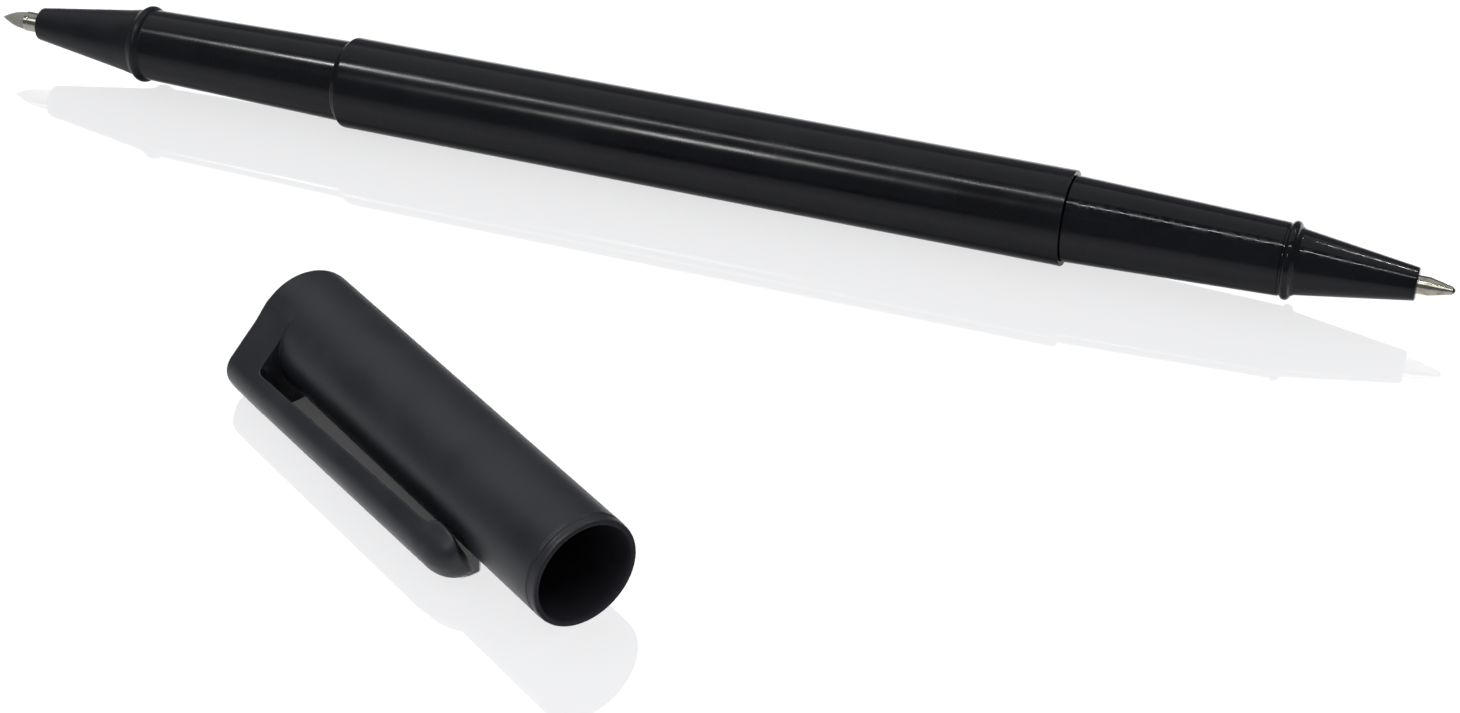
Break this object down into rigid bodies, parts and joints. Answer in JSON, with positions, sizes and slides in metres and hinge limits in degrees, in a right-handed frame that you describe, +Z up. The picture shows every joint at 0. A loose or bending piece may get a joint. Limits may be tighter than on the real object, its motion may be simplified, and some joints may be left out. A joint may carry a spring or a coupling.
{
  "type": "counterfeit detector pen",
  "caption": "Double-ended pen with an iodine fibre nib for testing banknotes at one end, a ballpoint at the other, and a loose push-on clip cap lying beside it.",
  "frame": {"origin": "under the middle of the pen and cap together, on the surface they lie on", "axes": "+X along the pen from the detector nib towards the ballpoint, +Z up, the loose cap on the -Y side"},
  "size_m": [0.1724, 0.0834, 0.0114],
  "materials": {
    "gloss_black": "gloss",
    "satin_black": "satin",
    "cap_black": "fine matte",
    "nickel_silver": "polished",
    "carbide_ball": "polished",
    "fibre": "pressed fibre",
    "iodine_wool": "soaked wool",
    "clear_film": "gloss",
    "milky_plastic": "satin",
    "black_ink": "wet",
    "grease": "wet",
    "seal_grey": "soft"
  },
  "bodies": {
    "pen": {"barrel": "gloss_black", "detector_nose": "satin_black", "nib_collar": "nickel_silver", "detector_nib": "fibre", "ink_reservoir": "iodine_wool", "reservoir_film": "clear_film", "dividing_plug": "milky_plastic"},
    "ballpoint_unit": {"ballpoint_section": "gloss_black", "ballpoint_nose": "gloss_black", "ballpoint_tip": "nickel_silver", "tip_holder": "milky_plastic", "refill_tube": "milky_plastic", "ink_column": "black_ink", "grease_follower": "grease", "refill_tail_plug": "milky_plastic"},
    "ball": {"writing_ball": "carbide_ball"},
    "cap": {"cap_shell": "cap_black", "cap_inner_seal": "seal_grey"},
    "clip": {"cap_clip": "cap_black"}
  },
  "joints": [
    {"name": "section_pull", "type": "slide", "parent": "pen", "child": "ballpoint_unit", "axis": [1, 0, 0], "range_m": [0, 0.04]},
    {"name": "ball_roll", "type": "hinge", "parent": "ballpoint_unit", "child": "ball", "pos_m": [0.08581, 0.0365, 0.00525], "axis": [0, 1, 0], "continuous": true},
    {"name": "cap_push", "type": "slide", "parent": "pen", "child": "cap", "axis": [0.8339, -0.5519, 0], "range_m": [0, 0.0463]},
    {"name": "clip_flex", "type": "hinge", "parent": "cap", "child": "clip", "pos_m": [-0.0236, -0.01855, 0.00225], "axis": [0.2161, 0.3264, -0.9202], "range_deg": [0, 2.5], "stiffness_Nm_per_rad": 0.6}
  ]
}
